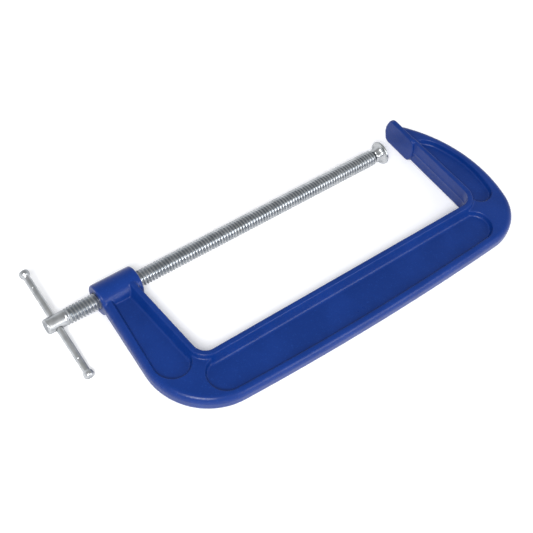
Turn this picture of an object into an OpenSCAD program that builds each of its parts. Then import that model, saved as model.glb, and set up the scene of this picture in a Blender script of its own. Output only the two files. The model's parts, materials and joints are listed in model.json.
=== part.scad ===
// Heavy duty C clamp: a cast C frame, a rolled clamp screw, a sliding tommy bar and a swivel pad.
// Origin: centre of the anvil face, on the screw axis.
// +X points from the handle to the anvil, +Y from the spine to the screw, +Z up through the frame's thickness.

/* [Jaw] */
// Distance from the boss to the anvil face, mm
jaw_span = 321.5; // [320:0.5:330]
// Throat depth, from the screw axis to the spine
throat = 104.7; // [104:0.1:106]
// Gap between the pad and the anvil as the clamp lies at rest
rest_gap = 26.3; // [5:0.1:120]

/* [Frame casting] */
// Thickness over the inner flange
flange_t = 27.2; // [26:0.2:29]
// Thickness over the outer rim and the corner lands
rim_t = 18; // [16:0.5:20]
// Thickness of the web at the bottom of the pockets
web_t = 7; // [5:0.5:9]
// Width of the flat inner flange of the spine
flange_w = 5.6; // [4:0.2:7]
// Width of the outer rim
rim_w = 7.4; // [6.6:0.2:8]
// Diameter of the screw boss
boss_d = 30.2; // [29:0.2:33]
// Length of the screw boss
boss_len = 41.8; // [38:0.2:44]
// Thickness over the anvil
anvil_t = 29.4; // [28:0.2:30]
// Depth of the anvil block behind its face
anvil_depth = 5.4; // [4:0.2:7]

/* [Clamp screw] */
// Outer diameter of the thread (5/8 inch)
thread_d = 15.9; // [15.5:0.1:16.2]
// Diameter of the plain head that carries the tommy bar
head_d = 14.6; // [13.5:0.1:15]
// Distance from the boss to the free end of the head
head_reach = 93.4; // [85:0.2:100]
// Distance from the cross hole to the free end of the head
hole_inset = 9.7; // [8:0.1:12]
// Length of the plain head, free end to the start of the thread
plain_len = 25; // [20:1:30]
// Diameter of the neck behind the ball
neck_d = 7.2; // [6.5:0.1:7.4]
// Diameter of the ball end
ball_d = 9.6; // [9.2:0.1:9.8]

/* [Tommy bar] */
// Diameter of the bar
bar_d = 6.5; // [6:0.1:7]
// Length between the middles of the two upset heads
bar_span = 111.2; // [90:0.2:116]
// Diameter of the upset heads
bar_head_d = 9.8; // [8.5:0.1:10.2]
// Length of each upset head
bar_head_len = 7; // [5:0.2:8]
// Turn of the bar about the screw axis as the clamp lies at rest, degrees
bar_turn = 10; // [0:1:20]
// How far the bar has slid towards its lower end
bar_shift = 1; // [0:0.5:10]
// Diameter of the cross hole in the screw's head
cross_hole_d = 7.4; // [7.3:0.1:7.8]

/* [Swivel pad] */
// Diameter of the pad's face
pad_d = 24; // [22:0.2:26]
// Overall length of the pad
pad_len = 10.4; // [10.2:0.1:11]
// Thickness of the pad's rim
pad_rim_t = 2.2; // [1.6:0.1:2.6]
// Diameter of the collar crimped round the ball
collar_d = 14; // [13.6:0.1:14.8]

/* [Hidden] */
$fn = 96;

// Running clearance of the thread in the boss, on the radius
thread_gap = 0.08;
// Clearance of the ball in the pad's socket, on the radius
ball_gap = 0.3;
// Steps in each round stretch of an outline
arc_steps = 24;

boss_x = -jaw_span;                       // the boss' inner face
head_end_x = boss_x - head_reach;
hole_x = head_end_x + hole_inset;
thread_start_x = head_end_x + plain_len;
pad_x = -rest_gap;                        // the pad's face
ball_x = pad_x - 6;
thread_end_x = pad_x - pad_len - 1.9;

// Outer outline of the frame: a straight left arm, a round corner, a slightly bowed spine,
// a second round corner and the long curved back of the right arm. Each arc runs into the next.
bow_r = 3040;
bow_c = [boss_x + 150.2, bow_r - throat - 52.9];
left_r = 62.8;
left_x = boss_x + 16.4;
left_c = [left_x, bow_c.y - sqrt(pow(bow_r - left_r, 2) - pow(left_x - bow_c.x, 2))];
back_r = 144.8;
back_c = [-100, -79.1];
right_r = 50;
right_c = meet(bow_c, bow_r - right_r, back_c, back_r - right_r);
back_end = 41.6;                          // where the back runs out beside the anvil
arm_l_outer = boss_x - 39.9;              // left arm's outer face at the screw axis

// Inner outline: the throat, slightly wider at its mouth
corner_in_l = 12.4;
corner_in_r = 13.6;
arm_l_mouth = boss_x - 6.5;               // left arm's inner face at the screw axis
arm_l_root = boss_x + 0.3;                // and at the spine
arm_r_x = 2.9;                            // right arm's inner face, just behind the anvil face

// Direction from p to q, degrees from 0 to 360
function bearing(p, q) = (atan2(q.y - p.y, q.x - p.x) + 360) % 360;

// The point r1 from c1 and r2 from c2 that lies to the left of the way from c1 to c2
function meet(c1, r1, c2, r2) =
    let (d = c2 - c1, l = norm(d), a = (l * l + r1 * r1 - r2 * r2) / (2 * l),
        h = sqrt(r1 * r1 - a * a), u = d / l)
    c1 + a * u + h * [-u.y, u.x];

// Points on an arc round c, from angle a0 to angle a1
function arc(c, r, a0, a1, n = arc_steps) =
    [for (i = [0:n]) c + r * [cos(a0 + (a1 - a0) * i / n), sin(a0 + (a1 - a0) * i / n)]];

outer_outline = concat(
    [[arm_l_outer, 0]],
    arc(left_c, left_r, 176.4, bearing(bow_c, left_c)),
    arc(bow_c, bow_r, bearing(bow_c, left_c), bearing(bow_c, right_c)),
    arc(right_c, right_r, bearing(bow_c, right_c), bearing(back_c, right_c)),
    arc(back_c, back_r, bearing(back_c, right_c) - 360, back_end));

function throat_outline(grow = 0) = concat(
    [[arm_r_x + grow, 60]],
    arc([arm_r_x - corner_in_r, corner_in_r - throat], corner_in_r + grow, 0, -90, 12),
    arc([arm_l_root + corner_in_l, corner_in_l - throat], corner_in_l + grow, -90, -180, 12),
    [[arm_l_mouth - grow, -15], [arm_l_mouth - grow, 60]]);

module outline_2d() {
    difference() {
        polygon(concat(outer_outline, [[arm_r_x, 17], [arm_r_x, 0]]));
        polygon(throat_outline());
        translate([boss_x - 60, 0]) square([jaw_span / 2, 60]);
    }
}

// The inner flange: a raised band along the throat
module flange_2d() {
    intersection() {
        outline_2d();
        polygon(throat_outline(flange_w));
    }
}

// Pocket of the left arm, open towards the boss
module left_pocket_2d() {
    polygon(concat(
        [[boss_x - 10.2, 0]],
        arc([boss_x - 22.7, -93.6], 18, 2, -182),
        [[boss_x - 32.4, 0]]));
}

// The spine's pocket lies between the flange and the bowed rim, and its round ends touch both
pocket_top = -throat - flange_w;
pocket_bow_r = bow_r - rim_w;
function end_radius(x) =
    let (h = bow_c.y - pocket_top)
    (pow(pocket_bow_r, 2) - pow(x - bow_c.x, 2) - h * h) / (2 * (h + pocket_bow_r));
function end_centre(x) = [x, pocket_top - end_radius(x)];

module spine_pocket_2d() {
    left = end_centre(boss_x + 10);
    right = end_centre(-15);
    polygon(concat(
        arc(left, end_radius(left.x), 90, bearing(bow_c, left)),
        arc(bow_c, pocket_bow_r, bearing(bow_c, left), bearing(bow_c, right)),
        arc(right, end_radius(right.x), bearing(bow_c, right), 450)));
}

// Pocket of the right arm: a teardrop with a small round nose below the anvil, whose arcs run
// into each other down the back
module right_pocket_2d() {
    nose = [12.4, -19.6];
    nose_r = 6.3;
    cheek_r = 30;
    belly = [-74.8, -72.3];
    belly_r = 110.6;
    cheek = meet(nose, cheek_r - nose_r, belly, belly_r - cheek_r);
    polygon(concat(
        arc(nose, nose_r, 180, bearing(cheek, nose), 12),
        arc(cheek, cheek_r, bearing(cheek, nose), bearing(belly, cheek), 12),
        arc(belly, belly_r, bearing(belly, cheek), -15),
        arc([18.4, -97.4], 14, -15, -148)));
}

module pockets_2d() {
    left_pocket_2d();
    spine_pocket_2d();
    right_pocket_2d();
}

module slab(t) {
    linear_extrude(t, center = true) children();
}

// The anvil: a block with its ends tapered on both sides of the parting line
module anvil() {
    h = anvil_t / 2;
    half = [[-13, h], [-16, h - 2], [-18.5, 5]];
    far = [[23, 3], [20.5, h - 2], [17, h]];
    rotate([90, 0, 90])
        linear_extrude(anvil_depth + 6)
            polygon(concat(half, [for (i = [2:-1:0]) [half[i].x, -half[i].y]],
                [for (i = [2:-1:0]) [far[i].x, -far[i].y]], far));
}

module along_x(x) {
    translate([x, 0, 0]) rotate([0, 90, 0]) children();
}

module frame_casting() {
    color("mediumblue")
    difference() {
        union() {
            difference() {
                union() {
                    slab(rim_t) outline_2d();
                    slab(flange_t) flange_2d();
                }
                for (side = [0, 1]) mirror([0, 0, side])
                    translate([0, 0, web_t / 2]) linear_extrude(flange_t) pockets_2d();
            }
            intersection() {
                anvil();
                translate([0, -50, -50]) cube([anvil_depth, 100, 100]);
            }
            along_x(boss_x - boss_len) cylinder(h = boss_len, d = boss_d);
        }
        along_x(boss_x - boss_len - 1) cylinder(h = boss_len + 2, r = thread_d / 2 + thread_gap);
    }
}

module clamp_screw() {
    chamfer = 1.2;
    color("silver")
    difference() {
        union() {
            // plain head
            along_x(head_end_x) cylinder(h = chamfer, d1 = head_d - 2 * chamfer, d2 = head_d);
            along_x(head_end_x + chamfer) cylinder(h = plain_len - chamfer, d = head_d);
            // thread, as its outer cylinder, with a chamfer at the pad end
            along_x(thread_start_x) cylinder(h = thread_end_x - chamfer - thread_start_x, d = thread_d);
            along_x(thread_end_x - chamfer) cylinder(h = chamfer, d1 = thread_d, d2 = thread_d - 2 * chamfer);
            // neck and ball
            along_x(thread_end_x - 1) cylinder(h = ball_x - thread_end_x + 1, d = neck_d);
            translate([ball_x, 0, 0]) sphere(d = ball_d);
        }
        translate([hole_x, 0, 0]) rotate([bar_turn - 90, 0, 0])
            cylinder(h = 2 * head_d, d = cross_hole_d, center = true);
    }
}

// Half of the bar: rod, round shoulder and flat-ended head, along +Z
module bar_half() {
    shoulder = (bar_head_d - bar_d) / 2;
    rotate_extrude()
        polygon([[0, 0], [bar_d / 2, 0],
            [bar_d / 2, bar_span / 2 - bar_head_len / 2],
            [bar_head_d / 2, bar_span / 2 - bar_head_len / 2 + 1.5 * shoulder],
            [bar_head_d / 2, bar_span / 2 + bar_head_len / 2 - 1],
            [bar_head_d / 2 - 1, bar_span / 2 + bar_head_len / 2],
            [0, bar_span / 2 + bar_head_len / 2]]);
}

module tommy_bar() {
    color("gainsboro")
    translate([hole_x, 0, 0]) rotate([bar_turn - 90, 0, 0]) translate([0, 0, -bar_shift]) {
        bar_half();
        mirror([0, 0, 1]) bar_half();
    }
}

// The pad is one turned and crimped piece, shown here by half of its section, back to face
module pad_section() {
    collar_len = 4.4;
    neck_hole_r = neck_d / 2 + 0.5;
    difference() {
        polygon([[neck_hole_r, 0], [collar_d / 2, 0], [collar_d / 2, collar_len],
            [pad_d / 2 - 1, pad_len - pad_rim_t], [pad_d / 2, pad_len - pad_rim_t],
            [pad_d / 2, pad_len], [0, pad_len], [0, pad_len - 4], [neck_hole_r, pad_len - 4]]);
        translate([0, pad_len + ball_x - pad_x]) circle(r = ball_d / 2 + ball_gap);
    }
}

module swivel_pad() {
    color("lightgray")
    along_x(pad_x - pad_len) rotate_extrude() pad_section();
}

frame_casting();
clamp_screw();
tommy_bar();
swivel_pad();
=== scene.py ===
# %% [markdown]
# A heavy C clamp, modelled round its CAD frame
# The real tool is four pieces: a ribbed iron casting, a long rolled screw, a sliding tommy bar and a
# swivel pad. The CAD model gives their places and sizes. Each piece is modelled here again with the
# draft, fillets, threads and finishes that the plain CAD solids leave out, and then rides on its body.

# %% Load the frame
import json
import math

import bmesh
import bpy
from mathutils import Matrix, Vector


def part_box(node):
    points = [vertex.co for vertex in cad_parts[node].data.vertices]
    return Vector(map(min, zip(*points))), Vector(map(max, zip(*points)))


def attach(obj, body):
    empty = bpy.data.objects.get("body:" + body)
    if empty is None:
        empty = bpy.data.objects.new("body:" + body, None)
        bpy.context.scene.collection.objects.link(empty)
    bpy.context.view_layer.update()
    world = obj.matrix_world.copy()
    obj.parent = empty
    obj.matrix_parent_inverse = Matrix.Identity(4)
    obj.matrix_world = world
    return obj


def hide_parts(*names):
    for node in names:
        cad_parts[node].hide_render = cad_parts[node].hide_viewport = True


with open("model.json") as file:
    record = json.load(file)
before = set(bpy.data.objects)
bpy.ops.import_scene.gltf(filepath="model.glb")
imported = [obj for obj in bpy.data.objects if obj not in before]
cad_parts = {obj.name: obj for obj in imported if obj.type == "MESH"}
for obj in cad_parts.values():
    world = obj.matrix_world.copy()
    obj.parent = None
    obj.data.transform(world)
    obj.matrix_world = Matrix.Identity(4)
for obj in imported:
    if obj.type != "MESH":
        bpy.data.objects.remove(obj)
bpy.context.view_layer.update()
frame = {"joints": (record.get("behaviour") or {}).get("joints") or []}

mm = 0.001


def pick(*objects):
    """Select these objects and no others, the last one active."""
    bpy.ops.object.select_all(action="DESELECT")
    for obj in objects:
        obj.select_set(True)
    bpy.context.view_layer.objects.active = objects[-1]


def count(obj):
    """Triangles in a mesh."""
    return sum(len(face.vertices) - 2 for face in obj.data.polygons)


def apply_modifier(obj, kind, **settings):
    """Add a modifier with these settings and apply it."""
    pick(obj)
    modifier = obj.modifiers.new(kind.lower(), kind)
    for key, value in settings.items():
        setattr(modifier, key, value)
    bpy.ops.object.modifier_apply(modifier=modifier.name)


# %% [markdown]
# ## Where the pieces are
# Many places are read from the CAD nodes' boxes, in millimetres, so that a new CAD model moves the
# pieces made here too; the frame's outlines are given as numbers. X runs along the screw towards the
# anvil, Y from the spine to the screw, and Z up through the thickness. The anvil's face is at the origin.

# %% Read the driving sizes from the frame
frame_lo, frame_hi = [Vector(corner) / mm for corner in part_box("frame_casting")]
screw_lo, screw_hi = [Vector(corner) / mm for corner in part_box("clamp_screw")]
pad_lo, pad_hi = [Vector(corner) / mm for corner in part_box("swivel_pad")]
bar_lo, bar_hi = [Vector(corner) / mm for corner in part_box("tommy_bar")]
bar_path = Vector(next(joint["axis"] for joint in frame["joints"] if joint["name"] == "bar_slide"))
boss_x = -321.5                 # the boss's inner face
boss_r = frame_hi.z
boss_len = 41.8
floor_z = frame_lo.z
print("jaw", -boss_x, "mm, floor at", round(floor_z, 2), "mm")

# %% [markdown]
# ## Camera and studio
# A long lens looks down on the clamp from its handle side, a little rolled, so that the tool runs up
# across the picture. The floor is plain and nearly white, among pale walls and large soft lights, because
# zinc and gloss paint show only what they reflect.

# %% Camera
view_azimuth = math.radians(-42.85)
view_elevation = math.radians(53.89)
view_roll = math.radians(8.11)
view_distance = 982.4 * mm
view_target = Vector((-211.4, -52.5, 0)) * mm

backward = Vector((math.sin(view_azimuth) * math.cos(view_elevation),
                   -math.cos(view_azimuth) * math.cos(view_elevation),
                   math.sin(view_elevation)))
level = Vector((0, 0, 1)).cross(backward).normalized()
upward = backward.cross(level)
turned_axes = Matrix((level, upward, backward)).transposed() @ Matrix.Rotation(view_roll, 3, "Z")
bpy.ops.object.camera_add()
camera = bpy.context.object
camera.matrix_world = Matrix.Translation(view_target + backward * view_distance) @ turned_axes.to_4x4()
camera.data.lens = 70.82
camera.data.sensor_width = 36
bpy.context.scene.camera = camera
bpy.context.scene.view_settings.view_transform = "Standard"
print("camera at", [round(value, 4) for value in camera.location])

# %% Floor and lights
bpy.ops.mesh.primitive_plane_add(size=8, location=(-0.2, -0.05, floor_z * mm))
floor = bpy.context.object
floor.name = "floor"
paper = bpy.data.materials.new("pale_floor")
paper.use_nodes = True
paper_shader = paper.node_tree.nodes["Principled BSDF"]
paper_shader.inputs["Base Color"].default_value = (0.93, 0.93, 0.94, 1)
paper_shader.inputs["Roughness"].default_value = 0.9
paper_shader.inputs["Specular IOR Level"].default_value = 0.1
paper_shader.inputs["Emission Color"].default_value = (1, 1, 1, 1)
paper_shader.inputs["Emission Strength"].default_value = 0.16
floor.data.materials.append(paper)


def soft_light(name, place, aim, width, power):
    """A square area light, placed and aimed in metres."""
    bpy.ops.object.light_add(type="AREA", location=place)
    lamp = bpy.context.object
    lamp.name = name
    lamp.data.size = width
    lamp.data.energy = power
    lamp.rotation_euler = (Vector(aim) - Vector(place)).to_track_quat("-Z", "Y").to_euler()


soft_light("key", (-1.15, -0.95, 1.45), (-0.2, -0.05, 0), 0.6, 32)
soft_light("front_fill", (0.45, -1.5, 0.75), (-0.2, -0.05, 0), 0.8, 10)

# %% Pale walls under a grey ceiling
sky = bpy.data.worlds.new("studio")
bpy.context.scene.world = sky
sky.use_nodes = True
nodes, links = sky.node_tree.nodes, sky.node_tree.links
direction = nodes.new("ShaderNodeTexCoord")
height = nodes.new("ShaderNodeSeparateXYZ")
walls = nodes.new("ShaderNodeValToRGB")
walls.color_ramp.interpolation = "EASE"
walls.color_ramp.elements[0].position = 0.3
walls.color_ramp.elements[0].color = (0.93, 0.96, 1, 1)
walls.color_ramp.elements[1].position = 0.72
walls.color_ramp.elements[1].color = (0.44, 0.445, 0.45, 1)
links.new(direction.outputs["Generated"], height.inputs[0])
links.new(height.outputs["Z"], walls.inputs[0])
links.new(walls.outputs[0], nodes["Background"].inputs["Color"])
nodes["Background"].inputs["Strength"].default_value = 1

# %% [markdown]
# ## Outlines of the casting
# The frame's outlines are straight lines and arcs that run into each other. An arc is a short list of
# points worked out from its centre and radius, and where two arcs touch, the touching point lies on the
# line through their centres, so only the centres and radii are stated.


# %% Arcs and outlines
def arc(centre, radius, start, end, steps=24):
    """Points on an arc, angles in degrees."""
    angles = [math.radians(start + (end - start) * i / steps) for i in range(steps + 1)]
    return [centre + radius * Vector((math.cos(a), math.sin(a))) for a in angles]


def bearing(start, end):
    """Direction from one point to another, degrees from 0 to 360."""
    return math.degrees(math.atan2(end.y - start.y, end.x - start.x)) % 360


def meet(c1, r1, c2, r2):
    """The point r1 from c1 and r2 from c2 that lies to the left of the way from c1 to c2."""
    gap = (c2 - c1).length
    along = (gap ** 2 + r1 ** 2 - r2 ** 2) / (2 * gap)
    across = math.sqrt(r1 ** 2 - along ** 2)
    unit = (c2 - c1) / gap
    return c1 + along * unit + across * Vector((-unit.y, unit.x))


throat = 104.7                  # from the screw's axis to the spine
bow_r = 3040
bow_c = Vector((boss_x + 150.2, bow_r - throat - 52.9))
left_r = 62.8
left_x = boss_x + 16.4
left_c = Vector((left_x, bow_c.y - math.sqrt((bow_r - left_r) ** 2 - (left_x - bow_c.x) ** 2)))
back_r = 144.8
back_c = Vector((-100, -79.1))
right_r = 50
right_c = meet(bow_c, bow_r - right_r, back_c, back_r - right_r)
arm_inner_left = boss_x - 6.5
arm_inner_right = 2.9
inner_left_r = 12.4
inner_right_r = 13.6
inner_left_c = Vector((boss_x + 0.3 + inner_left_r, inner_left_r - throat))
inner_right_c = Vector((arm_inner_right - inner_right_r, inner_right_r - throat))

rim_outline = [Vector((boss_x - 40.4, 8))]
rim_outline += arc(left_c, left_r, 176.4, bearing(bow_c, left_c))
rim_outline += arc(bow_c, bow_r, bearing(bow_c, left_c), bearing(bow_c, right_c))[1:]
rim_outline += arc(right_c, right_r, bearing(bow_c, right_c), bearing(back_c, right_c))[1:]
rim_outline += arc(back_c, back_r, bearing(back_c, right_c) - 360, 50)[1:]


def throat_outline(grow, right_top, left_top, right_slim=0):
    """The opening of the frame, grown outwards, with its mouth closed above the arms."""
    points = [Vector((arm_inner_right + grow - right_slim, right_top))]
    points += arc(inner_right_c, inner_right_r + grow, 0, -90, 12)
    points += arc(inner_left_c, inner_left_r + grow, -90, -175, 12)
    points += [Vector((arm_inner_left - grow, -8)), Vector((arm_inner_left - grow, left_top))]
    return points[::-1]


print("rim outline:", len(rim_outline), "points")

# %% [markdown]
# ## Raising a flat shape
# Sand-cast walls always lean, so that the pattern can be drawn from the sand, and they meet in fillets.
# The simplest way to model such a wall is the way a pattern maker thinks of it: start from the flat
# outline, inset it a little, lift it a little, and repeat. Each pair of numbers is one such step. The
# same tool makes the rim, the flange and the cutters of the pockets.


# %% The tool that raises a flat shape
def flat_shape(name, points, place):
    """A filled circle whose corners are moved onto an outline; place turns a 2D point into a 3D one."""
    bpy.ops.object.select_all(action="DESELECT")
    bpy.ops.mesh.primitive_circle_add(vertices=len(points), radius=1, fill_type="NGON")
    shape = bpy.context.object
    shape.name = name
    for vertex, point in zip(shape.data.vertices, points):
        vertex.co = place(point) * mm
    return shape


def raise_steps(shape, steps):
    """Inset and lift the face of a flat shape, step by step, into a closed solid."""
    pick(shape)
    bpy.ops.object.mode_set(mode="EDIT")
    bpy.ops.mesh.select_all(action="SELECT")
    bpy.ops.mesh.extrude_region_move(TRANSFORM_OT_translate={"value": (0, 0, steps[0][1] * mm)})
    for inset, lift in steps[1:]:
        bpy.ops.mesh.inset(thickness=inset * mm, use_even_offset=True)
        bpy.ops.transform.translate(value=(0, 0, lift * mm))
    bpy.ops.mesh.select_all(action="SELECT")
    bpy.ops.mesh.normals_make_consistent(inside=False)
    bpy.ops.object.mode_set(mode="OBJECT")


def at_height(z):
    return lambda point: Vector((point.x, point.y, z))


def mirror_about_parting(obj):
    """Join an object with its mirror image, open and merged where they meet on the parting plane."""
    pick(obj)
    bpy.ops.object.mode_set(mode="EDIT")
    bpy.ops.mesh.select_mode(type="FACE")
    bpy.ops.mesh.select_all(action="DESELECT")
    shape = bmesh.from_edit_mesh(obj.data)
    for face in shape.faces:
        face.select_set(all(abs(vertex.co.z) < 0.01 * mm for vertex in face.verts))
    bmesh.update_edit_mesh(obj.data)
    bpy.ops.mesh.delete(type="ONLY_FACE")
    bpy.ops.mesh.select_mode(type="VERT")
    bpy.ops.object.mode_set(mode="OBJECT")
    apply_modifier(obj, "MIRROR", use_axis=(False, False, True), use_mirror_merge=True,
                   merge_threshold=0.01 * mm)
    bpy.ops.object.mode_set(mode="EDIT")
    bpy.ops.mesh.select_all(action="SELECT")
    bpy.ops.mesh.normals_make_consistent(inside=False)
    bpy.ops.object.mode_set(mode="OBJECT")


def carve(obj, cutter, operation="DIFFERENCE"):
    """Apply a boolean with another object, which is used up."""
    apply_modifier(obj, "BOOLEAN", operation=operation, solver="EXACT", object=cutter)
    bpy.data.objects.remove(cutter)


# %% [markdown]
# ### Rim, flange and throat
# The rim is a slab of the whole D shape, with a soft round edge that leans in from the parting line. The
# flange round the throat is a second, higher D with a drafted outer wall. The throat is then cut through
# both, with a cutter that is slightly narrow at the parting line, which leaves the faint ridge that a real
# casting has there.

# %% Build the rim and the flange
rim = flat_shape("frame_casting_visual", rim_outline, at_height(0))
raise_steps(rim, [(0, 3.0), (0.45, 1.9), (0.75, 1.5), (1.05, 1.2), (1.25, 0.8), (1.35, 0.45), (0.9, 0.15)])
mirror_about_parting(rim)

flange_base_w = 11.2            # at the parting line, before the wall leans in
right_slim = 1.8
flange = flat_shape("flange", throat_outline(flange_base_w, -7, 5, right_slim), at_height(0))
raise_steps(flange, [(0, 3.2), (1.3, 0.7), (0.9, 0.9), (0.9, 1.7), (2.5, 5.9), (0.3, 0.8), (0.5, 0.4)])
mirror_about_parting(flange)


def throat_cutter(right_top, left_top):
    """Cutter for the opening, narrowest at the parting line."""
    cutter = flat_shape("throat_cutter", throat_outline(0.2, right_top, left_top), at_height(20))
    raise_steps(cutter, [(0, -16.8), (0.35, -3.2)])
    mirror_about_parting(cutter)
    return cutter


top_cutter = flat_shape("tip_cutter", [Vector(p) for p in ((-40, 17), (40, 17), (40, 60), (-40, 60))],
                        at_height(-20))
raise_steps(top_cutter, [(0, 40)])
carve(rim, top_cutter)
carve(rim, throat_cutter(60, 60))
carve(flange, throat_cutter(60, 60))
print("rim", count(rim), "flange", count(flange), "triangles")

# %% [markdown]
# ### Pockets
# Three pockets lighten the casting on each side. Their walls lean about 20 degrees and end in a small
# fillet, so each cutter is a raised shape too, pointing down. The flange's own wall closes them on the
# throat's side.

# %% Cut the pockets
rim_w = 7.4
pocket_top = -throat - 5.6
pocket_bow_r = bow_r - rim_w


def bow_end(x):
    """Centre and radius of a circle that touches the flange and the bowed rim."""
    height = bow_c.y - pocket_top
    radius = (pocket_bow_r ** 2 - (x - bow_c.x) ** 2 - height ** 2) / (2 * (height + pocket_bow_r))
    return Vector((x, pocket_top - radius)), radius


left_end, left_end_r = bow_end(boss_x + 10)
right_end, right_end_r = bow_end(-15)
nose_c = Vector((12.4, -19.6))
nose_r = 6.3
cheek_r = 30
belly_c = Vector((-74.8, -72.3))
belly_r = 110.6
cheek_c = meet(nose_c, cheek_r - nose_r, belly_c, belly_r - cheek_r)
pockets = {
    "left_pocket": [Vector((boss_x - 10.2, 0))]
    + arc(Vector((boss_x - 22.7, -93.6)), 18, 2, -182)
    + [Vector((boss_x - 32.4, 0))],
    "spine_pocket": arc(left_end, left_end_r, 90, bearing(bow_c, left_end))
    + arc(bow_c, pocket_bow_r, bearing(bow_c, left_end), bearing(bow_c, right_end))[1:]
    + arc(right_end, right_end_r, bearing(bow_c, right_end), 450)[1:],
    "right_pocket": arc(nose_c, nose_r, 180, bearing(cheek_c, nose_c), 12)
    + arc(cheek_c, cheek_r, bearing(cheek_c, nose_c), bearing(belly_c, cheek_c), 12)[1:]
    + arc(belly_c, belly_r, bearing(belly_c, cheek_c), -15)[1:]
    + arc(Vector((18.4, -97.4)), 14, -15, -148),
}
for name, outline in pockets.items():
    cutter = flat_shape(name, outline, at_height(14))
    raise_steps(cutter, [(0, -4.9), (0.35, -0.4), (1.35, -4.1), (0.5, -0.7), (0.6, -0.4)])
    mirror_about_parting(cutter)
    carve(rim, cutter)
print("rim with pockets:", count(rim), "triangles")

# %% [markdown]
# ### Boss and anvil
# The boss is a plain cylinder with rounded ends. The anvil is a thick plate across the end of the right
# arm, with its corners taken off.

# %% Add the boss and the anvil
boss_mid = boss_x - boss_len / 2
bpy.ops.object.select_all(action="DESELECT")
bpy.ops.mesh.primitive_cylinder_add(vertices=96, radius=boss_r * mm, depth=boss_len * mm,
                                    location=(boss_mid * mm, 0, 0), rotation=(0, math.pi / 2, 0))
boss = bpy.context.object
bpy.ops.object.transform_apply(location=True, rotation=True, scale=True)
apply_modifier(boss, "BEVEL", width=1.8 * mm, segments=5, limit_method="ANGLE")

anvil_half_t = 14.7
anvil_depth = 5.4
lower_side = [Vector((-18.5, 5)), Vector((-16, anvil_half_t - 2)), Vector((-13, anvil_half_t))]
upper_side = [Vector((17.4, anvil_half_t)), Vector((21, anvil_half_t - 2)), Vector((23.9, 3.4))]
half_outline = lower_side + upper_side
anvil_outline = half_outline + [Vector((p.x, -p.y)) for p in reversed(half_outline)]
anvil = flat_shape("anvil", anvil_outline, lambda p: Vector((anvil_depth, p.x, p.y)))
pick(anvil)
bpy.ops.object.mode_set(mode="EDIT")
bpy.ops.mesh.select_all(action="SELECT")
bpy.ops.mesh.extrude_region_move(TRANSFORM_OT_translate={"value": (-anvil_depth * mm, 0, 0)})
bpy.ops.mesh.select_all(action="SELECT")
bpy.ops.mesh.normals_make_consistent(inside=False)
bpy.ops.object.mode_set(mode="OBJECT")
apply_modifier(anvil, "BEVEL", width=0.9 * mm, segments=3)

# %% [markdown]
# ### From blocks to one casting
# The parts of the frame overlap, with hard edges between them. A voxel remesh turns them into one skin,
# and a few passes of smoothing pull small fillets into every inner corner and round every outer edge,
# as paint and foundry sand do. Decimating afterwards keeps the triangles where the surface is curved.
# The bore is cut last, because it has to stay round.

# %% Merge, smooth and thin out
pick(flange, boss, anvil, rim)
bpy.ops.object.join()
casting = rim
grain = 0.6
apply_modifier(casting, "REMESH", mode="VOXEL", voxel_size=grain * mm, adaptivity=0)
print("remeshed:", count(casting))
apply_modifier(casting, "SMOOTH", factor=0.5, iterations=5)
budget = 170000
apply_modifier(casting, "DECIMATE", ratio=min(1, budget / count(casting)))
print("casting:", count(casting), "triangles")

# %% [markdown]
# ### Parting line and bore
# A thin line of flash stands along the middle of the outer rim, where the two halves of the mould met.
# Its points are picked by height and pushed out along their normals. The bore goes through the boss,
# and a cone at each end breaks its edge.


# %% Raise the parting line, cut the bore
def choose_points(obj, test):
    """Select, in edit mode, the vertices whose place and normal pass the test, places in millimetres."""
    bpy.ops.mesh.select_mode(type="VERT")
    bpy.ops.mesh.select_all(action="DESELECT")
    shape = bmesh.from_edit_mesh(obj.data)
    for vertex in shape.verts:
        vertex.select_set(test(vertex.co / mm, vertex.normal))
    shape.select_flush_mode()
    bmesh.update_edit_mesh(obj.data)


def on_parting_line(place, normal):
    away_from_boss = abs(place.x - boss_mid) > boss_len / 2 + 1 or place.y < -boss_r - 1
    return abs(place.z) < 0.45 and abs(normal.z) < 0.3 and away_from_boss


pick(casting)
bpy.ops.object.mode_set(mode="EDIT")
choose_points(casting, on_parting_line)
bpy.ops.transform.shrink_fatten(value=0.16 * mm)
bpy.ops.object.mode_set(mode="OBJECT")

bore_r = 8.03
bpy.ops.object.select_all(action="DESELECT")
bpy.ops.mesh.primitive_cylinder_add(vertices=96, radius=bore_r * mm, depth=(boss_len + 10) * mm,
                                    location=(boss_mid * mm, 0, 0), rotation=(0, math.pi / 2, 0))
bore = bpy.context.object
bpy.ops.object.transform_apply(location=True, rotation=True, scale=True)
carve(casting, bore)
for side in (-1, 1):
    bpy.ops.object.select_all(action="DESELECT")
    bpy.ops.mesh.primitive_cone_add(vertices=96, radius1=(bore_r + 2.2) * mm, radius2=(bore_r - 0.8) * mm,
                                    depth=3 * mm, rotation=(0, -side * math.pi / 2, 0),
                                    location=((boss_mid + side * (boss_len / 2 + 0.2)) * mm, 0, 0))
    break_edge = bpy.context.object
    bpy.ops.object.transform_apply(location=True, rotation=True, scale=True)
    carve(casting, break_edge)
pick(casting)
bpy.ops.object.shade_smooth_by_angle(angle=math.radians(50))
print("casting with bore:", count(casting), "triangles")

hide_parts("frame_casting")
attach(casting, "frame")

# %% [markdown]
# ## Turned pieces
# The screw, the bar and the pad are round, so each starts as one line: half of its section. A vertex is
# extruded from corner to corner to draw the line, and the Screw modifier or a spin turns it about the
# axis. A thread is the same with a lead: the line is one thread's profile, and every turn moves it on by
# one pitch.


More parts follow.
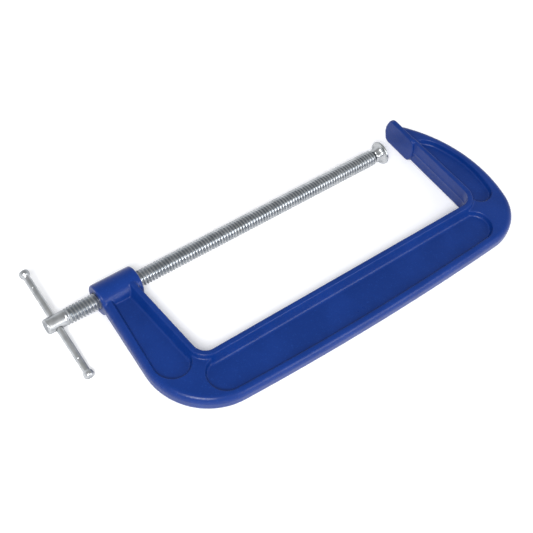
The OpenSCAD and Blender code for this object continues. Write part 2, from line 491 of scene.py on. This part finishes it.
# %% The tool that draws and turns a line
def profile_line(name, points):
    """A chain of vertices through these points, made by extruding one vertex."""
    bpy.ops.object.select_all(action="DESELECT")
    bpy.ops.mesh.primitive_plane_add(size=mm)
    line = bpy.context.object
    line.name = name
    bpy.ops.object.mode_set(mode="EDIT")
    bpy.ops.mesh.select_all(action="SELECT")
    bpy.ops.mesh.merge(type="CENTER")
    bpy.ops.transform.translate(value=points[0] * mm)
    for before, after in zip(points, points[1:]):
        bpy.ops.mesh.extrude_region_move(TRANSFORM_OT_translate={"value": (after - before) * mm})
    bpy.ops.object.mode_set(mode="OBJECT")
    return line


def turned(name, section, steps=64):
    """A solid of revolution about the X axis, from (x, radius) corners in millimetres."""
    piece = profile_line(name, [Vector((x, 0, radius)) for x, radius in section])
    bpy.ops.object.mode_set(mode="EDIT")
    bpy.ops.mesh.select_all(action="SELECT")
    bpy.ops.mesh.spin(steps=steps, angle=2 * math.pi, center=(0, 0, 0), axis=(1, 0, 0))
    bpy.ops.mesh.select_all(action="SELECT")
    bpy.ops.mesh.remove_doubles(threshold=0.001 * mm)
    bpy.ops.mesh.normals_make_consistent(inside=False)
    bpy.ops.object.mode_set(mode="OBJECT")
    return piece

# %% [markdown]
# ### Clamp screw
# The thread is rolled: the bar's surface is pressed into ridges, so the ridges stand above the plain
# head and the grooves lie below it. The ridges have flattened tops and round roots. Near the head they
# die out over about four turns. One mesh is turned over the whole length. The edges where each turn
# meets the next are welded, or the cross hole could not be cut cleanly later. Its radius is adjusted
# near both ends by place, and two flat cuts close it.

# %% Turn the screw
pitch = 3.175
thread_r = screw_hi.z
root_r = 6.35
head_r = 7.3
head_x = screw_lo.x
shoulder_x = pad_lo.x - 1.9     # where the thread ends, beside the pad
fade_start = head_x + 15
fade_end = head_x + 27
points_per_pitch = 10


def thread_radius(phase):
    """Radius of the rolled thread; phase runs from 0 to 1 over one pitch."""
    wave = max(-1, min(1, 1.45 * math.cos(2 * math.pi * phase) - 0.12))
    return (thread_r + root_r) / 2 + wave * (thread_r - root_r) / 2


thread_start = head_x - 2 * pitch
turns = math.ceil((shoulder_x - thread_start) / pitch) + 2
ridge = [Vector((thread_start + pitch * i / points_per_pitch, 0, thread_radius(i / points_per_pitch)))
         for i in range(points_per_pitch + 1)]
screw = profile_line("clamp_screw_visual", ridge)
apply_modifier(screw, "SCREW", axis="X", screw_offset=pitch * mm, angle=2 * math.pi, iterations=turns,
               steps=40, render_steps=40)
pick(screw)
bpy.ops.object.mode_set(mode="EDIT")
bpy.ops.mesh.select_all(action="SELECT")
bpy.ops.mesh.remove_doubles(threshold=0.02 * mm)
bpy.ops.object.mode_set(mode="OBJECT")


def end_radius(x, radius):
    """The thread's radius, faded to the plain head at one end and chamfered at both."""
    fade = max(0, min(1, (x - fade_start) / (fade_end - fade_start)))
    radius = head_r + (radius - head_r) * fade * fade * (3 - 2 * fade)
    head_chamfer = head_r - 1 + max(0, x - head_x)
    end_chamfer = thread_r - 1.1 + max(0, shoulder_x - x)
    return min(radius, head_chamfer, end_chamfer)


for vertex in screw.data.vertices:
    x = vertex.co.x / mm
    radius = math.hypot(vertex.co.y, vertex.co.z) / mm
    scale = end_radius(x, radius) / radius
    vertex.co.y *= scale
    vertex.co.z *= scale

pick(screw)
bpy.ops.object.mode_set(mode="EDIT")
for plane_x, way in ((head_x, -1), (shoulder_x, 1)):
    bpy.ops.mesh.select_all(action="SELECT")
    bpy.ops.mesh.bisect(plane_co=(plane_x * mm, 0, 0), plane_no=(way, 0, 0), clear_outer=True, use_fill=True)
bpy.ops.mesh.select_all(action="SELECT")
bpy.ops.mesh.normals_make_consistent(inside=False)
bpy.ops.object.mode_set(mode="OBJECT")
print("screw:", count(screw), "triangles,", turns, "turns")

# %% Neck and ball, and the cross hole
ball_r = 4.8
neck_r = 3.6
ball_x = screw_hi.x - ball_r
ball_start = math.degrees(math.asin(neck_r / ball_r))
ball_arc = [(ball_x - ball_r * math.cos(math.radians(a)), ball_r * math.sin(math.radians(a)))
            for a in [ball_start + (180 - ball_start) * i / 12 for i in range(13)]]
neck = turned("neck", [(shoulder_x - 2, 0), (shoulder_x - 2, neck_r)] + ball_arc, 48)
carve(screw, neck, "UNION")

hole_at = Vector((screw_lo.x + 9.7, 0, 0))
hole_r = 3.7
bpy.ops.object.select_all(action="DESELECT")
bpy.ops.mesh.primitive_cylinder_add(vertices=48, radius=hole_r * mm, depth=30 * mm)
hole = bpy.context.object
hole.matrix_world = Matrix.Translation(hole_at * mm) @ bar_path.to_track_quat("Z", "X").to_matrix().to_4x4()
bpy.ops.object.transform_apply(location=True, rotation=True, scale=True)
carve(screw, hole)
pick(screw)
bpy.ops.object.shade_smooth_by_angle(angle=math.radians(40))
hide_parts("clamp_screw")
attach(screw, "screw")

# %% [markdown]
# ### Tommy bar
# Both heads were upset from the rod by a blow on its end: each is a short barrel with a sloped shoulder
# and a rounded edge, and the end is a little dished. Half of the bar is turned, copied and flipped.

# %% Turn the tommy bar
bar_r = 3.25
upset_r = 4.9
bar_half = 111.2 / 2 + 3.5      # from the middle of the bar to its end
bar_middle = (bar_lo + bar_hi) / 2
shoulder = bar_half - 7
section = [(0, bar_r)]
section += [(shoulder - 13.3, bar_r), (shoulder - 12.9, bar_r), (shoulder - 12.6, bar_r - 0.12)]
section += [(shoulder - 12.3, bar_r), (shoulder - 11.9, bar_r), (shoulder - 0.9, bar_r)]
section += [(shoulder - 0.5, bar_r), (shoulder + 0.2, bar_r + 0.15), (shoulder + 1.3, bar_r + 0.95)]
section += [(shoulder + 2.2, upset_r - 0.18), (shoulder + 3.2, upset_r)]
section += [(bar_half - 2.2, upset_r - 0.02), (bar_half - 1.1, upset_r - 0.35)]
section += [(bar_half - 0.4, upset_r - 1.0), (bar_half, upset_r - 1.9)]
section += [(bar_half - 0.1, 1.2), (bar_half - 0.25, 0)]
bar = turned("tommy_bar_visual", section, 48)
pick(bar)
bpy.ops.object.duplicate()
other_half = bpy.context.object
bpy.ops.transform.mirror(constraint_axis=(True, False, False))
bpy.ops.object.transform_apply(location=True, rotation=True, scale=True)
pick(other_half, bar)
bpy.ops.object.join()
bpy.ops.object.mode_set(mode="EDIT")
bpy.ops.mesh.select_all(action="SELECT")
bpy.ops.mesh.remove_doubles(threshold=0.001 * mm)
bpy.ops.mesh.normals_make_consistent(inside=False)
bpy.ops.object.mode_set(mode="OBJECT")
along_bar = bar_path.to_track_quat("X", "Z").to_matrix().to_4x4()
bar.matrix_world = Matrix.Translation(bar_middle * mm) @ along_bar
bpy.ops.object.transform_apply(location=True, rotation=True, scale=True)
bpy.ops.object.shade_smooth_by_angle(angle=math.radians(40))
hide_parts("tommy_bar")
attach(bar, "bar")
print("bar:", count(bar), "triangles, length", round((bar_hi - bar_lo).length, 1))

# %% [markdown]
# ### Swivel pad
# The pad is turned as a disc with a hollow hub, and the hub is then crimped round the ball in a press,
# which leaves six shallow flats on it. The flats are made by pressing the hub's vertices in, by angle.

# %% Turn and crimp the pad
pad_r = pad_hi.z
rim_t = 2.2
back_x = pad_lo.x
face_x = pad_hi.x
socket_r = ball_r + 0.3
mouth_r = neck_r + 0.5
socket_start = 180 - math.degrees(math.asin(mouth_r / socket_r))
socket = [(ball_x + socket_r * math.cos(math.radians(a)), socket_r * math.sin(math.radians(a)))
          for a in [socket_start * i / 12 for i in range(13)]]
hub_r = 7
section = [(face_x, 0), (face_x, pad_r - 0.5), (face_x - 0.2, pad_r - 0.15), (face_x - 0.6, pad_r)]
rim_x = face_x - rim_t
section += [(rim_x + 0.5, pad_r), (rim_x + 0.15, pad_r - 0.2), (rim_x, pad_r - 0.6)]
section += [(rim_x - 0.1, pad_r - 1.6), (rim_x - 0.9, pad_r - 3.2), (face_x - 4.6, hub_r + 0.7)]
section += [(back_x + 2.8, hub_r), (back_x + 1.2, hub_r - 0.1)]
section += [(back_x + 0.4, hub_r - 0.5), (back_x, hub_r - 1.3)]
section += [(back_x, mouth_r)] + socket[::-1]
pad = turned("swivel_pad_visual", section, 72)
for vertex in pad.data.vertices:
    x = vertex.co.x / mm
    radius = math.hypot(vertex.co.y, vertex.co.z) / mm
    if radius < hub_r - 1.5 or radius > pad_r - 2 or x > face_x - rim_t:
        continue
    angle = math.atan2(vertex.co.z, vertex.co.y)
    flat = abs(math.cos(3 * angle + 0.4)) ** 3
    scale = 1 - 0.085 * flat
    vertex.co.y *= scale
    vertex.co.z *= scale
pick(pad)
bpy.ops.object.shade_smooth_by_angle(angle=math.radians(38))
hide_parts("swivel_pad")
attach(pad, "pad")
print("pad:", count(pad), "triangles")

# %% [markdown]
# ## Finishes
# Every finish is worked out from the piece's own coordinates, so nothing slides when the clamp moves.
# A small class lets sums be written on sockets, as 1 - mask, and adds the Math nodes for them.


# %% Shader sums
class Value:
    """One output of a node, on which ordinary sums can be written."""

    def __init__(self, finish, socket):
        self.finish = finish
        self.socket = socket

    def __add__(self, other):
        return self.finish.math("ADD", self, other)

    def __rsub__(self, other):
        return self.finish.math("SUBTRACT", other, self)

    def __mul__(self, other):
        return self.finish.math("MULTIPLY", self, other)

    __radd__ = __add__
    __rmul__ = __mul__


class Finish:
    """A material, with short ways to add nodes to it."""

    def __init__(self, name):
        self.material = bpy.data.materials.new(name)
        self.material.use_nodes = True
        self.tree = self.material.node_tree
        self.shader = self.tree.nodes["Principled BSDF"]
        self.place = self.node("ShaderNodeTexCoord", {}, {}, "Object")

    def node(self, kind, settings, inputs, output=0):
        """Add a node: its settings first, then the values or links of its sockets."""
        node = self.tree.nodes.new(kind)
        for key, value in settings.items():
            setattr(node, key, value)
        for key, value in inputs.items():
            self.feed(node.inputs[key], value)
        return Value(self, node.outputs[output])

    def feed(self, socket, value):
        if isinstance(value, Value):
            self.tree.links.new(value.socket, socket)
        else:
            socket.default_value = value

    def math(self, operation, first, second):
        return self.node("ShaderNodeMath", {"operation": operation}, {0: first, 1: second})

    def stretched(self, scale):
        """The piece's coordinates, scaled per axis."""
        return self.node("ShaderNodeMapping", {}, {"Vector": self.place, "Scale": scale})

    def noise(self, scale, detail=3, vector=None):
        return self.node("ShaderNodeTexNoise", {}, {"Vector": vector or self.place, "Scale": scale,
                                                    "Detail": detail, "Roughness": 0.55})

    def ramp(self, value, low, high):
        """0 below low, 1 above high, a smooth step between."""
        return self.node("ShaderNodeMapRange", {"interpolation_type": "SMOOTHSTEP"},
                         {"Value": value, "From Min": low, "From Max": high})

    def blend(self, mask, first, second):
        """A colour between two colours or links."""
        return self.node("ShaderNodeMix", {"data_type": "RGBA"},
                         {"Factor": mask, "A": first, "B": second}, 2)

    def bump(self, height, strength, distance, normal=None):
        inputs = {"Height": height, "Strength": strength, "Distance": distance}
        if normal:
            inputs["Normal"] = normal
        return self.node("ShaderNodeBump", {}, inputs)

    def set(self, **sockets):
        for key, value in sockets.items():
            self.feed(self.shader.inputs[key.replace("_", " ").title().replace("Ior", "IOR")], value)

    def coat(self, *objects):
        for obj in objects:
            obj.data.materials.clear()
            obj.data.materials.append(self.material)

# %% [markdown]
# ### Blue enamel over cast iron
# Enamel dipped over a sand casting is a deep, slightly purple blue. It has the faint roll of the sand
# below it, and carries a few small pits.

# %% Blue enamel
enamel = Finish("blue_enamel")
drift = enamel.noise(28, 3)
speckle = enamel.noise(700, 2)
deep = (0.0015, 0.0235, 0.158, 1)
pale = (0.003, 0.028, 0.18, 1)
tone = enamel.blend(enamel.ramp(drift, 0.35, 0.68), deep, pale)
tone = enamel.blend(enamel.ramp(speckle, 0.56, 0.76) * 0.5, tone, (0.009, 0.05, 0.25, 1))
pit_field = enamel.node("ShaderNodeTexVoronoi", {"feature": "F1"}, {"Vector": enamel.place, "Scale": 95.0})
pit_patch = enamel.ramp(enamel.noise(17, 1), 0.6, 0.66)
pits = (1 - enamel.ramp(pit_field, 0.03, 0.09)) * pit_patch
tone = enamel.blend(pits * 0.6, tone, (0.012, 0.02, 0.07, 1))
roll = enamel.noise(150, 2)
sand = enamel.noise(850, 3)
relief = enamel.bump(roll, 0.5, 0.35 * mm)
relief = enamel.bump(sand, 0.7, 0.13 * mm, relief)
relief = enamel.bump(1 - pits, 0.6, 0.25 * mm, relief)
enamel.set(base_color=tone, roughness=0.24 + 0.14 * enamel.noise(60, 2), normal=relief,
           specular_ior_level=0.25)
enamel.coat(casting)

# %% [markdown]
# ### Zinc plate
# Bright zinc is a soft blue-white metal, cloudy rather than mirror bright. Drawn rod keeps fine lines
# along it, turned faces keep fine rings, and the grooves of the thread are painted darker, as painted shade.


# %% Zinc plate
def zinc(name, along, line_strength):
    """Zinc plate on drawn or turned steel; along is the direction in which its fine lines run."""
    plate = Finish(name)
    cloud = plate.noise(120, 4)
    tone = plate.blend(plate.ramp(cloud, 0.3, 0.7), (0.43, 0.445, 0.455, 1), (0.58, 0.59, 0.595, 1))
    stain = plate.ramp(plate.noise(45, 3), 0.56, 0.75)
    tone = plate.blend(stain * 0.35, tone, (0.40, 0.39, 0.35, 1))
    lines = plate.noise(1, 2, plate.stretched(along))
    relief = plate.bump(lines, line_strength, 0.05 * mm)
    relief = plate.bump(plate.noise(900, 2), 0.15, 0.03 * mm, relief)
    plate.set(base_color=tone, metallic=1.0, roughness=0.22 + 0.2 * plate.noise(200, 3), normal=relief,
              specular_tint=(0.45, 0.46, 0.48, 1))
    return plate, tone


plate, tone = zinc("zinc_screw", (120, 2600, 2600), 0.35)
across = plate.node("ShaderNodeVectorMath", {"operation": "MULTIPLY"}, {0: plate.place, 1: (0, 1, 1)})
radius = plate.node("ShaderNodeVectorMath", {"operation": "LENGTH"}, {0: across}, "Value")
# Painted shade: the roots of the thread, past the plain head, are painted a darker grey-blue than the
# ridges.
groove_shade = 1 - plate.ramp(radius, (root_r + 0.1) * mm, (thread_r - 0.35) * mm)
along_screw = plate.node("ShaderNodeSeparateXYZ", {}, {0: plate.place})
past_head = plate.ramp(along_screw, fade_start * mm, fade_end * mm)
plate.set(base_color=plate.blend(groove_shade * past_head * 0.55, tone, (0.22, 0.26, 0.31, 1)))
plate.coat(screw)

bar_lines = tuple(2600 - 2480 * abs(part) for part in bar_path)
plate, tone = zinc("zinc_bar", bar_lines, 0.6)
plate.coat(bar)
plate, tone = zinc("zinc_pad", (2600, 300, 300), 0.45)
plate.coat(pad)
